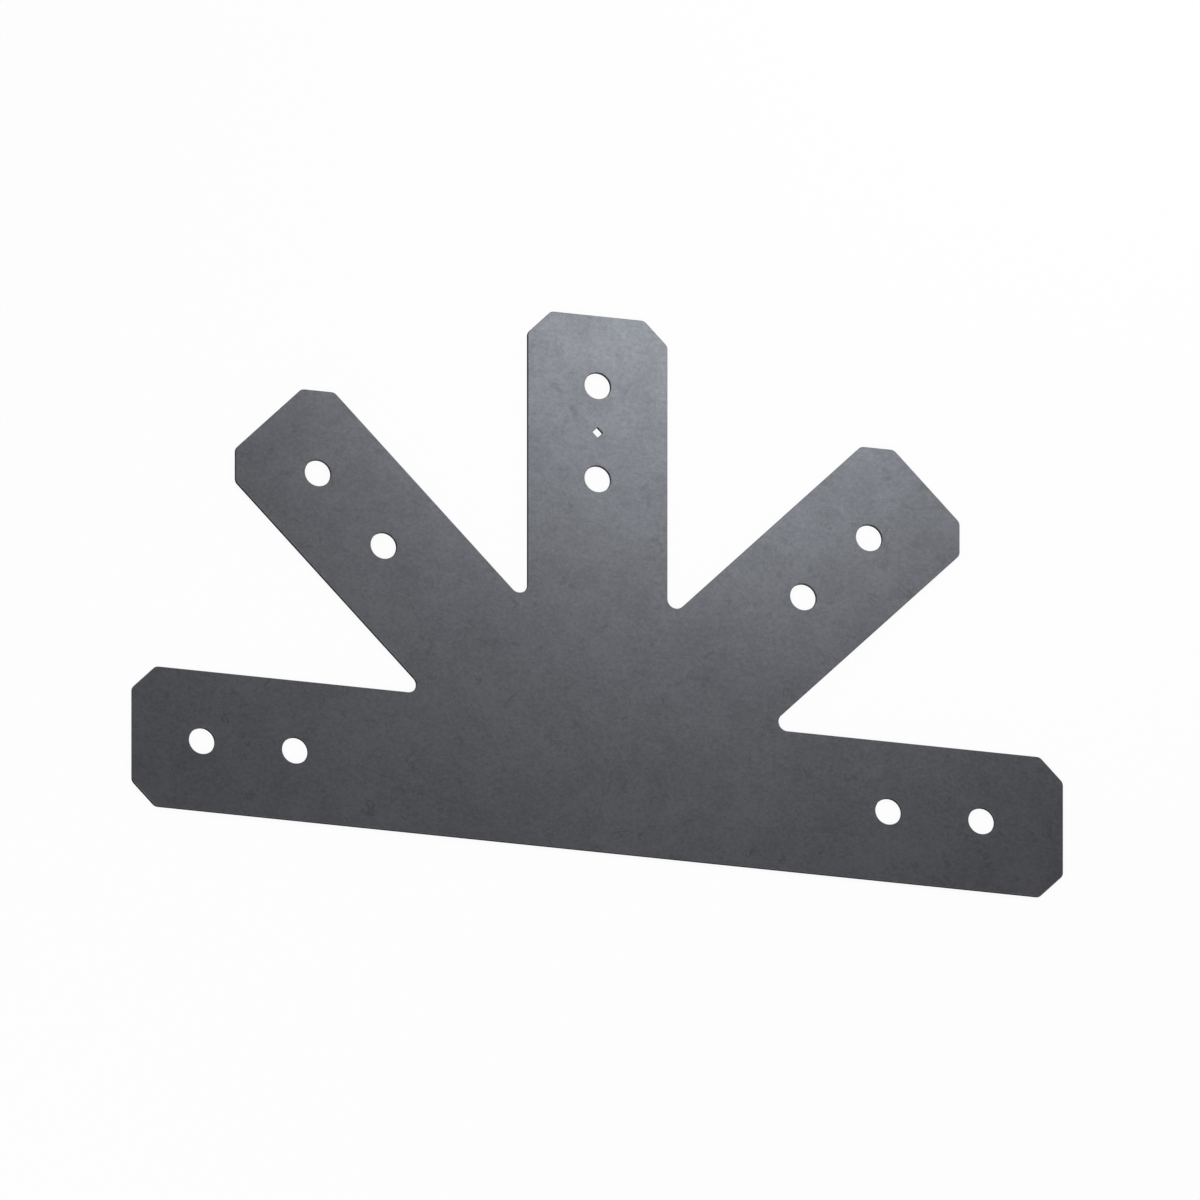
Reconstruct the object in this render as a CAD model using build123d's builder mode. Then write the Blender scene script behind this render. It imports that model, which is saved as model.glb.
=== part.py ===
from build123d import *
import os

# Gable plate: one flat piece of sheet steel that ties five timbers together at the foot of a
# gable's king post. A chord runs along the bottom, a king post stands on it, and a brace slopes
# away on each side. Every arm of the plate ends in two cut-off corners and holds two bolts.
#
# The plate lies on its back. +X runs along the chord, +Y up the king post and +Z out of the face
# that shows. The origin is the working point, where the centre lines of all five arms meet, on
# the back face. Lengths are in millimetres and angles in degrees.

# Driving dimensions: the sheet and its outline
sheet_thickness = 1.9        # 14 gauge
arm_width = 76.2             # every arm, and so the depth of the chord
chord_reach = 254.0          # working point to the end of the chord, each way
brace_reach = 254.0          # working point to the end of each brace's arm
king_reach = 254.0           # working point to the top of the king post's arm
brace_slope = 45.0           # from the chord up to each brace
end_chamfer = 12.7           # cut off both corners at the end of an arm, at 45 degrees
corner_radius = 4.0          # softens the two bends that each cut leaves
notch_radius = 4.8           # root of the notch between two arms

# Driving dimensions: the holes and the edge
bolt_hole = 14.3             # across, for a half-inch bolt
bolt_spacing = 50.8          # between the two bolts of an arm, centre to centre
end_distance = 38.1          # last bolt to the end of its arm
right_end_distance = 44.45   # the same on the two right-hand arms, whose bolts sit further in
nail_hole = 4.0              # side of the square hole that takes a nail
nail_hole_radius = 0.4       # its four corners
edge_break = 0.25            # taken off the face's sharp edges, so that they don't cut a hand

# Each arm: the direction it points in, its reach, and where its last bolt sits
arms = [
    (0, chord_reach, right_end_distance),
    (brace_slope, brace_reach, right_end_distance),
    (90, king_reach, end_distance),
    (180 - brace_slope, brace_reach, end_distance),
    (180, chord_reach, end_distance),
]


def arm_blank(reach):
    """One arm, pointing along +X from the working point, with the two corners of its end cut off."""
    with BuildSketch() as blank:
        Rectangle(reach, arm_width, align=(Align.MIN, Align.CENTER))
        chamfer(blank.vertices().group_by(Axis.X)[-1], length=end_chamfer)
        bends = blank.vertices().sort_by(Axis.X)[2:]
        fillet(bends, radius=corner_radius)
    return blank.sketch


blanks = [(slope, arm_blank(reach)) for slope, reach, _ in arms]

with BuildPart() as gable_plate:
    # The outline: five arms fanned about the working point. Where two neighbours part, the edges
    # cross at a sharp notch, which is rounded so that the sheet doesn't tear there.
    with BuildSketch() as outline:
        for slope, blank in blanks:
            add(blank, rotation=slope)
        notches = outline.vertices().sort_by_distance((0, 0, 0))[: len(arms) - 1]
        fillet(notches, radius=notch_radius)
    extrude(amount=sheet_thickness)

    # Two bolt holes on the centre line of every arm
    for slope, reach, last_bolt in arms:
        outer = reach - last_bolt
        inner = outer - bolt_spacing
        with Locations(Plane.XY.offset(sheet_thickness).rotated((0, 0, slope))):
            with Locations((outer, 0), (inner, 0)):
                Hole(bolt_hole / 2)

    # A square nail hole midway between the king post's bolts, set with a corner pointing up the arm
    with BuildSketch() as nail_punch:
        with Locations((0, king_reach - end_distance - bolt_spacing / 2)):
            Rectangle(nail_hole, nail_hole, rotation=45)
        fillet(nail_punch.vertices(), radius=nail_hole_radius)
    extrude(amount=sheet_thickness, mode=Mode.SUBTRACT)

    # The face's edges are broken along the outline and round each hole
    face = gable_plate.faces().sort_by(Axis.Z)[-1]
    chamfer(face.edges(), length=edge_break)

gable_plate.part.label = "gable_plate"

os.makedirs("parts", exist_ok=True)
export_step(gable_plate.part, "parts/gable_plate.step")

box = gable_plate.part.bounding_box().size
print(f"gable plate: {box.X:.1f} x {box.Y:.1f} x {box.Z:.2f} mm, {gable_plate.part.volume / 1000:.1f} cm3")
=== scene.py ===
# %% [markdown]
# # A gable plate
#
# The real object is one flat piece of sheet steel, 508 mm long and not quite 2 mm thick. Five arms
# fan out from one point, and each is bolted to a timber of a gable. Nothing on it moves, so all the
# work is in the finish: a dark, slightly blue grey that clouds softly from place to place, cut
# edges painted near black as painted shade, and a broad sheen that brightens towards the king post.

import math

import bpy
from mathutils import Matrix, Vector


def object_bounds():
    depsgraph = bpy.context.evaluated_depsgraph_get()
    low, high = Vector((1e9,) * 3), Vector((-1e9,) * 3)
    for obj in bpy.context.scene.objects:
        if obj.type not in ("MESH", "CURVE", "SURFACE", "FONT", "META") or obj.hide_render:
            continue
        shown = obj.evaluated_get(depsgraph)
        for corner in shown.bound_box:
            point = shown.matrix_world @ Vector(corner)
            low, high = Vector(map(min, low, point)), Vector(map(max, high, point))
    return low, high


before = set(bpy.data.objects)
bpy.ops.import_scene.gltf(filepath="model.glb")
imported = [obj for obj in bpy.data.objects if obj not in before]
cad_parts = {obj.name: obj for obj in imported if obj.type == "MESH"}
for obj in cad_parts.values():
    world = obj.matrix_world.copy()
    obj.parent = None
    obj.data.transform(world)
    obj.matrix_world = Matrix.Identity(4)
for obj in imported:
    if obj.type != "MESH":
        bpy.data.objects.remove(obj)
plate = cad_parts["gable_plate"]
cad_low, cad_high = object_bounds()
print("plate", [round((high - low) * 1000, 1) for low, high in zip(cad_low, cad_high)], "mm")

# %% [markdown]
# ## A small helper for shader nodes
#
# Every finish below is a tree of shader nodes. A tree is easier to read when one call makes a node,
# sets what doesn't change and joins what does, so `add` takes each input either as a value or as
# the socket that feeds it.

# %% Make and join nodes
def add(tree, kind, inputs=None, **settings):
    node = tree.nodes.new(kind)
    for name, value in settings.items():
        setattr(node, name, value)
    for name, value in (inputs or {}).items():
        if isinstance(value, bpy.types.NodeSocket):
            tree.links.new(value, node.inputs[name])
        else:
            node.inputs[name].default_value = value
    return node


def maths(tree, operation, first, second=0.0, clamp=False):
    node = add(tree, "ShaderNodeMath", {0: first, 1: second}, operation=operation, use_clamp=clamp)
    return node.outputs["Value"]


def ramp(tree, value, low, high, to_low=0.0, to_high=1.0):
    node = add(
        tree,
        "ShaderNodeMapRange",
        {"Value": value, "From Min": low, "From Max": high, "To Min": to_low, "To Max": to_high},
        interpolation_type="SMOOTHSTEP",
    )
    return node.outputs["Result"]


# %% [markdown]
# ## A group and its sockets
#
# An effect that several finishes could share is a node group, with named inputs that each material
# sets for itself. `new_group` makes one and declares its sockets.

# %% Make a node group
def new_group(name, numbers, outputs):
    group = bpy.data.node_groups.new(name, "ShaderNodeTree")
    for label, default in numbers.items():
        socket = group.interface.new_socket(label, in_out="INPUT", socket_type="NodeSocketFloat")
        socket.default_value = default
    for label in outputs:
        group.interface.new_socket(label, in_out="OUTPUT", socket_type="NodeSocketFloat")
    return group, group.nodes.new("NodeGroupInput"), group.nodes.new("NodeGroupOutput")


# %% [markdown]
# ## Clouding
#
# A dull metal coat never settles evenly. Broad clouds have smaller ones inside them, down to a fine
# grain, and each size is about as strong as the last. A noise texture with many octaves and a high
# roughness does this. The sheet was rolled along its length, so the clouds are drawn out that way.

# %% Clouding, broad to fine
CLOUD_SWIRL = 0.2


def make_clouding():
    group, given, made = new_group(
        "clouding",
        {"Size": 0.03, "Octaves": 6.0, "Evenness": 0.9, "Stretch": 1.3},
        ["Clouds"],
    )
    place = add(group, "ShaderNodeTexCoord").outputs["Object"]
    along = maths(group, "DIVIDE", 1.0, given.outputs["Stretch"])
    squeeze = add(group, "ShaderNodeCombineXYZ", {"X": along, "Y": 1.0, "Z": 1.0})
    drawn_out = add(
        group,
        "ShaderNodeVectorMath",
        {0: place, 1: squeeze.outputs["Vector"]},
        operation="MULTIPLY",
    )
    noise = add(
        group,
        "ShaderNodeTexNoise",
        {
            "Vector": drawn_out.outputs["Vector"],
            "Scale": maths(group, "DIVIDE", 1.0, given.outputs["Size"]),
            "Detail": given.outputs["Octaves"],
            "Roughness": given.outputs["Evenness"],
            "Distortion": CLOUD_SWIRL,
        },
    )
    group.links.new(noise.outputs["Fac"], made.inputs["Clouds"])
    return group


clouding = make_clouding()
print("group", clouding.name, [item.name for item in clouding.interface.items_tree])

# %% [markdown]
# ## Creases in the coat
#
# Here and there the coat shows a short, wandering line, most of them dark and a few light where
# the sheet was scuffed. Where a noise passes through its middle value it draws such lines by
# itself. A second noise, hardly finer, lets only short lengths of them show. The steel uses the
# group twice, once for the dark creases and once for the light scuffs.

# %% Creases
NOISE_MIDDLE = 0.5
NOISE_TOP = 0.75  # a noise is seldom above this
NOISE_SPAN = 0.5  # and seldom further than this below that top
PATCH_FINER = 1.1  # the second noise against the first
MASK_FADE = 0.08  # the rise in a noise that takes a mask from nothing to full


def make_creases():
    group, given, made = new_group(
        "creases", {"Size": 0.012, "Width": 0.012, "Share": 0.4}, ["Crease"]
    )
    place = add(group, "ShaderNodeTexCoord").outputs["Object"]
    scale = maths(group, "DIVIDE", 1.0, given.outputs["Size"])
    wander = add(
        group,
        "ShaderNodeTexNoise",
        {"Vector": place, "Scale": scale, "Detail": 2.0, "Roughness": 0.6, "Distortion": 1.5},
    )
    from_middle = maths(group, "SUBTRACT", wander.outputs["Fac"], NOISE_MIDDLE)
    line = ramp(group, maths(group, "ABSOLUTE", from_middle), given.outputs["Width"], 0.0)
    finer = maths(group, "MULTIPLY", scale, PATCH_FINER)
    patches = add(group, "ShaderNodeTexNoise", {"Vector": place, "Scale": finer, "Detail": 1.0})
    below_top = maths(group, "MULTIPLY", given.outputs["Share"], NOISE_SPAN)
    start = maths(group, "SUBTRACT", NOISE_TOP, below_top)
    patch = ramp(group, patches.outputs["Fac"], start, maths(group, "ADD", start, MASK_FADE))
    group.links.new(maths(group, "MULTIPLY", line, patch), made.inputs["Crease"])
    return group


creases = make_creases()
print("group", creases.name)

# %% [markdown]
# ## Specks
#
# A few small dark spots sit in the coat, where dirt or oil was under it. Only the rare peaks of a
# fine noise become spots, so they are sparse, and no two are alike.

# %% Specks
def make_specks():
    group, given, made = new_group("specks", {"Size": 0.004, "Rarity": 0.7}, ["Speck"])
    place = add(group, "ShaderNodeTexCoord").outputs["Object"]
    scale = maths(group, "DIVIDE", 1.0, given.outputs["Size"])
    fine = add(
        group,
        "ShaderNodeTexNoise",
        {"Vector": place, "Scale": scale, "Detail": 2.0, "Distortion": 0.5},
    )
    start = given.outputs["Rarity"]
    speck = ramp(group, fine.outputs["Fac"], start, maths(group, "ADD", start, MASK_FADE))
    group.links.new(speck, made.inputs["Speck"])
    return group


specks = make_specks()
print("group", specks.name)

# %% [markdown]
# ## Cut edges
#
# A punch first shears the sheet and then tears it. The wall that it leaves has a smooth band next
# to the face and a rough, dull band below. The mask finds the walls by the way they face: a wall's
# normal lies flat. The height above the back of the sheet then tells one band from the other.

# %% Cut edges
FACE_UPRIGHT = 0.85  # the upward part of a normal that still counts as the face
WALL_UPRIGHT = 0.3  # and the part below which all is wall
SHEARED_SHARE = 0.35  # of the sheet's thickness, next to the face
RAGGED_SCALE = 700.0  # waves to the metre in the line between the bands
RAGGED_SHARE = 0.2  # of the thickness, over which that line wanders
SOFT_SHARE = 0.05  # of the thickness, over which it fades to each side


def make_cut_edge():
    group, given, made = new_group("cut_edge", {"Thickness": 0.0019}, ["Wall", "Torn"])
    place = add(group, "ShaderNodeTexCoord")
    upright = add(group, "ShaderNodeSeparateXYZ", {"Vector": place.outputs["Normal"]}).outputs["Z"]
    wall = ramp(group, maths(group, "ABSOLUTE", upright), FACE_UPRIGHT, WALL_UPRIGHT)
    ragged = add(
        group,
        "ShaderNodeTexNoise",
        {"Vector": place.outputs["Object"], "Scale": RAGGED_SCALE, "Detail": 3.0},
    )
    height = add(group, "ShaderNodeSeparateXYZ", {"Vector": place.outputs["Object"]}).outputs["Z"]
    share = maths(group, "DIVIDE", height, given.outputs["Thickness"])
    wander = maths(group, "MULTIPLY", ragged.outputs["Fac"], RAGGED_SHARE)
    line = 1.0 - SHEARED_SHARE + RAGGED_SHARE / 2
    torn = ramp(group, maths(group, "ADD", share, wander), line + SOFT_SHARE, line - SOFT_SHARE)
    group.links.new(wall, made.inputs["Wall"])
    group.links.new(maths(group, "MULTIPLY", wall, torn), made.inputs["Torn"])
    return group


cut_edge = make_cut_edge()
print("group", cut_edge.name)

# %% [markdown]
# ## Placing, mixing and adding up
#
# A material places a shared group with values of its own, lays one colour over another through a
# mask, and adds up masks that count for more or less. Each gets a helper.

# %% Place a group, mix two colours, add up masks
MIX_FIRST, MIX_SECOND, MIX_RESULT = 6, 7, 2  # a Mix node's colour sockets, by number


def place_group(tree, group, **values):
    node = tree.nodes.new("ShaderNodeGroup")
    node.node_tree = group
    for name, value in values.items():
        node.inputs[name].default_value = value
    return node


def mix(tree, factor, first, second):
    inputs = {"Factor": factor, MIX_FIRST: first, MIX_SECOND: second}
    return add(tree, "ShaderNodeMix", inputs, data_type="RGBA").outputs[MIX_RESULT]


def weighted_sum(tree, *parts):
    terms = [maths(tree, "MULTIPLY", value, weight) for value, weight in parts]
    total = terms[0]
    for term in terms[1:]:
        total = maths(tree, "ADD", total, term)
    return total


# %% [markdown]
# ## The steel
#
# The finish is a metal with a low, blue-grey colour and a broad sheen, not a paint: the face
# brightens fourfold from the chord to the top of the king post, and only a reflection does that on
# a flat sheet. Colour, sheen and relief all follow the same clouds, because on the real sheet they
# have one cause. So each group is placed here, and the cells below share what comes out of it. The
# sizes are in metres.

# %% The steel and its masks
steel = bpy.data.materials.new("dull_grey_steel")
steel.use_nodes = True
tree = steel.node_tree
shader = tree.nodes["Principled BSDF"]
thickness = cad_high.z - cad_low.z

clouds = place_group(tree, clouding, Size=0.05, Octaves=6.0, Evenness=0.9, Stretch=1.1)
clouds = clouds.outputs["Clouds"]
grain = place_group(tree, clouding, Size=0.0022, Octaves=2.0, Evenness=1.0, Stretch=1.2)
grain = grain.outputs["Clouds"]
streaks = place_group(tree, clouding, Size=0.0022, Octaves=2.0, Evenness=0.8, Stretch=5.0)
streaks = streaks.outputs["Clouds"]
crease = place_group(tree, creases, Size=0.012, Width=0.06, Share=0.28).outputs["Crease"]
scuff = place_group(tree, creases, Size=0.016, Width=0.04, Share=0.3).outputs["Crease"]
speck = place_group(tree, specks, Size=0.004, Rarity=0.66).outputs["Speck"]
edge = place_group(tree, cut_edge, Thickness=thickness)
wall, torn = edge.outputs["Wall"], edge.outputs["Torn"]
print("material", steel.name, "for a sheet", round(thickness * 1000, 2), "mm thick")

# %% [markdown]
# ## The steel's colour
#
# Clouds and grain together set the tone between two close greys. The creases, specks and scuffs
# lie over that, and each covers it only in part, because the coat still shows through them. The
# walls of the cuts are painted near black, far darker than the face. That is painted shade, laid
# over the real step from the smooth sheared band to the darker, duller torn band. They are seen at
# a glance, where even a dark metal mirrors a white floor, and the painted shade keeps them dark.

# %% The steel's colour
FACE_DARK = (0.0845, 0.0865, 0.0955, 1.0)
FACE_LIGHT = (0.1138, 0.1165, 0.128, 1.0)
TONE_LOW, TONE_HIGH = 0.36, 0.64  # where the tone is darkest and lightest
CLOUD_WEIGHT, GRAIN_WEIGHT = 0.55, 0.45
CREASE_COLOUR = (0.072, 0.074, 0.080, 1.0)
SCUFF_COLOUR = (0.126, 0.129, 0.138, 1.0)
CREASE_COVER, SPECK_COVER, SCUFF_COVER = 0.7, 0.45, 0.4
# painted shade: the cut walls are coloured near black, the torn band darkest, so that they look
# shaded
SHEARED_BAND_AND_SHADE_COLOUR = (0.024, 0.024, 0.025, 1.0)
TORN_BAND_AND_SHADE_COLOUR = (0.012, 0.012, 0.012, 1.0)

tone = weighted_sum(tree, (clouds, CLOUD_WEIGHT), (grain, GRAIN_WEIGHT))
face = mix(tree, ramp(tree, tone, TONE_LOW, TONE_HIGH), FACE_DARK, FACE_LIGHT)
for mask, cover, colour in (
    (crease, CREASE_COVER, CREASE_COLOUR),
    (speck, SPECK_COVER, CREASE_COLOUR),
    (scuff, SCUFF_COVER, SCUFF_COLOUR),
):
    face = mix(tree, maths(tree, "MULTIPLY", mask, cover), face, colour)
# the walls of the cuts get their painted shade here
walls_with_painted_shade = mix(tree, torn, SHEARED_BAND_AND_SHADE_COLOUR, TORN_BAND_AND_SHADE_COLOUR)
tree.links.new(mix(tree, wall, face, walls_with_painted_shade), shader.inputs["Base Color"])
print("colour, with", len(tree.nodes), "nodes so far")

# %% [markdown]
# ## The steel's sheen
#
# Roughness spreads the lamp's reflection into a broad sheen, and differs a little from cloud to
# cloud. The walls are much duller than the face, and dullest where the metal tore. Metallic stays
# just short of full, for the dull film on the metal.

# %% The steel's sheen
CLOUDS_LOW, CLOUDS_HIGH = 0.3, 0.7  # what the clouding's values lie between
DULL_IN_DARK, DULL_IN_LIGHT = 0.285, 0.275
WALL_DULLER = 0.5
TORN_DULLER = 0.2
METAL_SHARE = 0.95

dull = ramp(tree, clouds, CLOUDS_LOW, CLOUDS_HIGH, DULL_IN_DARK, DULL_IN_LIGHT)
duller = weighted_sum(tree, (wall, WALL_DULLER), (torn, TORN_DULLER))
tree.links.new(maths(tree, "ADD", dull, duller), shader.inputs["Roughness"])
shader.inputs["Metallic"].default_value = METAL_SHARE
print("sheen, roughness", DULL_IN_LIGHT, "to", DULL_IN_DARK, "on the face")

# %% [markdown]
# ## The steel's relief
#
# Rolling left fine streaks along the sheet. They are in the relief alone, so they show where the
# sheen is and not in the dark parts. The clouds stand a little proud, and the creases are sunk. It
# all comes to a few hundredths of a millimetre, far too little to model, so a bump gives it.

# %% The steel's relief
RELIEF_UNIT = 0.0001  # metres to a height of one
RELIEF_STRENGTH = 0.5
CLOUD_HEIGHT = 0.1
STREAK_HEIGHT = 0.38
CREASE_DEPTH = 0.05

relief = weighted_sum(
    tree, (clouds, CLOUD_HEIGHT), (streaks, STREAK_HEIGHT), (crease, -CREASE_DEPTH)
)
bump = add(
    tree,
    "ShaderNodeBump",
    {"Height": relief, "Strength": RELIEF_STRENGTH, "Distance": RELIEF_UNIT},
)
tree.links.new(bump.outputs["Normal"], shader.inputs["Normal"])
plate.data.materials.clear()
plate.data.materials.append(steel)
print("material", steel.name, "on", plate.name, "over", len(plate.data.polygons), "faces")

# %% [markdown]
# ## The floor
#
# A sheet this thin can't stand, so it lies on its back. The floor is pale. Seen directly or in the
# metal, most of its brightness is its own, so that it looks white at this modest level of light,
# and the rest is real, so that it keeps the plate's soft shadow.

# %% The floor
FLOOR_HALF = 4.0
FLOOR_COLOUR = (0.9, 0.9, 0.9, 1.0)
FLOOR_OWN_COLOUR = (1.0, 1.0, 1.0, 1.0)
FLOOR_OWN_SHARE = 0.92


def make_floor(height):
    sides = ((-1, -1), (1, -1), (1, 1), (-1, 1))
    corners = [(x * FLOOR_HALF, y * FLOOR_HALF, height) for x, y in sides]
    mesh = bpy.data.meshes.new("floor")
    mesh.from_pydata(corners, [], [(0, 1, 2, 3)])
    floor = bpy.data.objects.new("floor", mesh)
    bpy.context.scene.collection.objects.link(floor)
    pale = bpy.data.materials.new("pale_floor")
    pale.use_nodes = True
    tree = pale.node_tree
    tree.nodes.clear()
    path = add(tree, "ShaderNodeLightPath")
    seen = maths(tree, "ADD", path.outputs["Is Camera Ray"], path.outputs["Is Glossy Ray"])
    seen = maths(tree, "ADD", seen, path.outputs["Is Transmission Ray"], clamp=True)
    lit = add(tree, "ShaderNodeBsdfDiffuse", {"Color": FLOOR_COLOUR})
    own = add(tree, "ShaderNodeEmission", {"Color": FLOOR_OWN_COLOUR, "Strength": 1.0})
    both = add(tree, "ShaderNodeMixShader", {0: maths(tree, "MULTIPLY", seen, FLOOR_OWN_SHARE)})
    tree.links.new(lit.outputs["BSDF"], both.inputs[1])
    tree.links.new(own.outputs["Emission"], both.inputs[2])
    add(tree, "ShaderNodeOutputMaterial", {"Surface": both.outputs["Shader"]})
    mesh.materials.append(pale)
    return floor


floor = make_floor(cad_low.z)
print("floor", 2 * FLOOR_HALF, "m square at", round(floor.data.vertices[0].co.z, 4))

# %% [markdown]
# ## The room
#
# A product is often shot in a white room under a dim ceiling. The plate's face, seen from above,
# mirrors the ceiling and stays dark, while low views look along the floor into a white wall. The
# world shader blends one into the other by height. The walls are as bright as the floor looks, so
# no line shows where one meets the other. The ceiling is a touch warm and the key lamp a touch
# cool, so the steel is greyer where it is dim and bluer where it shines.

# %% The room
WALL_COLOUR = (0.987, 0.987, 0.987, 1.0)
CEILING_COLOUR = (0.418, 0.404, 0.404, 1.0)
WALL_TOP = math.sin(math.radians(24))  # as high as the wall's colour is whole
CEILING_FROM = math.sin(math.radians(46))  # above this there is only ceiling


def make_room():
    room = bpy.data.worlds.new("room")
    room.use_nodes = True
    tree = room.node_tree
    tree.nodes.clear()
    towards = add(tree, "ShaderNodeTexCoord").outputs["Generated"]
    height = add(tree, "ShaderNodeSeparateXYZ", {"Vector": towards}).outputs["Z"]
    overhead = ramp(tree, height, WALL_TOP, CEILING_FROM)
    colour = mix(tree, overhead, WALL_COLOUR, CEILING_COLOUR)
    light = add(tree, "ShaderNodeBackground", {"Color": colour})
    add(tree, "ShaderNodeOutputWorld", {"Surface": light.outputs["Background"]})
    return room


bpy.context.scene.world = make_room()
print("room", bpy.context.scene.world.name, "ceiling", CEILING_COLOUR[:3])

# %% [markdown]
# ## The lamps
#
# A soft key lamp stands beyond the top of the king post and to the right, and leans over the plate.
# The camera sees its blurred reflection run off the top of the plate, and that is the sheen. A
# large, weak fill lamp on the near side lights the floor and the walls of the holes. The camera
# sees none of it in the face, because a flat sheet throws that reflection the other way.

# %% The lamps
KEY_PLACE = Vector((0.351, 0.662, 0.700))
KEY_AIM = Vector((0.0, -0.17, 0.0))
KEY_SIZE = (0.348, 0.544)
KEY_RADIANCE = 5.2  # the light from each patch of its surface, whatever its size
KEY_TINT = (0.965, 1.0, 1.0)
FILL_PLACE = Vector((-0.65, -0.55, 0.85))
FILL_AIM = Vector((0.0, 0.1, 0.0))
FILL_SIZE = (0.9, 0.9)
FILL_RADIANCE = 1.4
FILL_TINT = (1.0, 1.0, 1.0)


def make_lamp(name, place, aim, size, radiance, tint):
    data = bpy.data.lights.new(name, "AREA")
    data.shape = "RECTANGLE"
    data.size, data.size_y = size
    data.energy = radiance * math.pi * data.size * data.size_y
    data.color = tint
    lamp = bpy.data.objects.new(name, data)
    bpy.context.scene.collection.objects.link(lamp)
    lamp.location = place
    lamp.rotation_euler = (aim - place).to_track_quat("-Z", "Y").to_euler()
    return lamp


key_lamp = make_lamp("key_lamp", KEY_PLACE, KEY_AIM, KEY_SIZE, KEY_RADIANCE, KEY_TINT)
fill_lamp = make_lamp("fill_lamp", FILL_PLACE, FILL_AIM, FILL_SIZE, FILL_RADIANCE, FILL_TINT)
for lamp in (key_lamp, fill_lamp):
    print(lamp.name, round(lamp.data.energy, 2), "W")

# %% [markdown]
# ## The camera
#
# The picture is an even, parallel view: the arms don't taper and the holes are all one shape. It is
# taken from the left of the face and from below, by the same angle.

# %% The camera
TURN_LEFT = math.radians(18.22)
TURN_DOWN = math.radians(18.22)
VIEW_MIDDLE = Vector((0.0012, 0.0991, cad_high.z))
VIEW_WIDTH = 0.6222
CAMERA_DISTANCE = 1.5

camera_data = bpy.data.cameras.new("camera")
camera_data.type = "ORTHO"
camera_data.ortho_scale = VIEW_WIDTH
camera = bpy.data.objects.new("camera", camera_data)
bpy.context.scene.collection.objects.link(camera)
turned = Matrix.Rotation(-TURN_LEFT, 4, "Y") @ Matrix.Rotation(TURN_DOWN, 4, "X")
middle = Matrix.Translation(VIEW_MIDDLE)
camera.matrix_world = middle @ turned @ Matrix.Translation((0, 0, CAMERA_DISTANCE))
bpy.context.scene.camera = camera
bpy.context.scene.view_settings.view_transform = "Standard"
print("camera at", [round(c, 3) for c in camera.matrix_world.translation])
